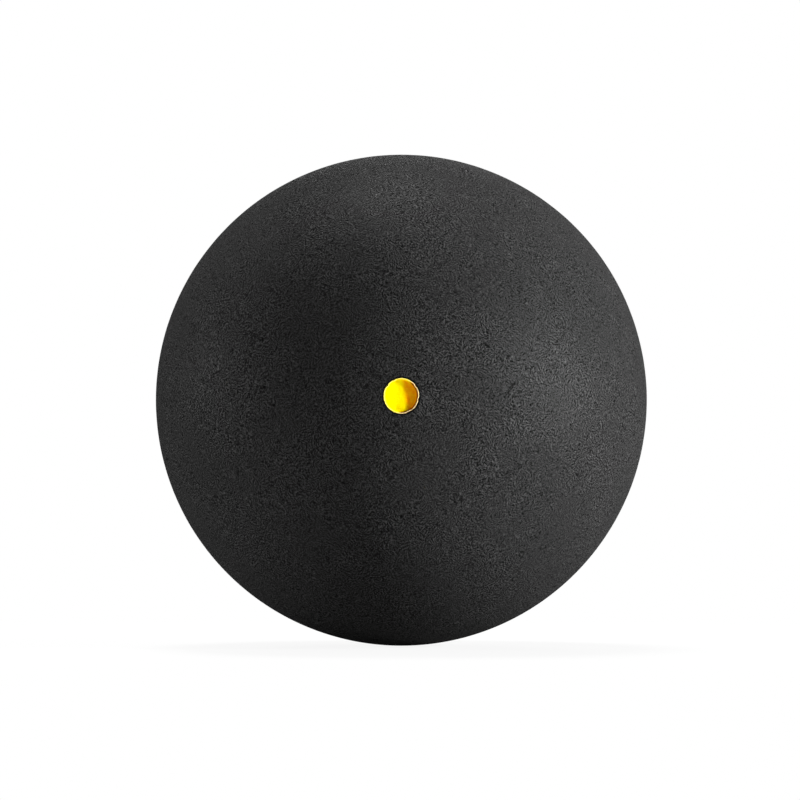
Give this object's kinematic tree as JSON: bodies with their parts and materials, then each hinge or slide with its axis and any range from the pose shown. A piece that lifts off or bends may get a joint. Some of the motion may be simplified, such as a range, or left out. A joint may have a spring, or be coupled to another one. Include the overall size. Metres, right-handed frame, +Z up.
{
  "type": "squash ball",
  "caption": "Hollow matte black rubber squash ball of two cemented half shells, with a small recessed yellow dot at one pole that marks its speed.",
  "frame": {"origin": "centre of the ball", "axes": "+Z up; -Y points out through the yellow dot; the seam lies in the XZ plane"},
  "size_m": [0.04, 0.04, 0.04],
  "materials": {
    "black_rubber": "matte, buffed to a fine wrinkled grain",
    "seam_cement": "satin black, buffed flush with the shells",
    "dot_paint": "satin yellow paint, slightly uneven"
  },
  "bodies": {
    "root": {"front_half_shell": "black_rubber", "rear_half_shell": "black_rubber", "seam_cement": "seam_cement", "yellow_dot": "dot_paint"}
  },
  "joints": []
}
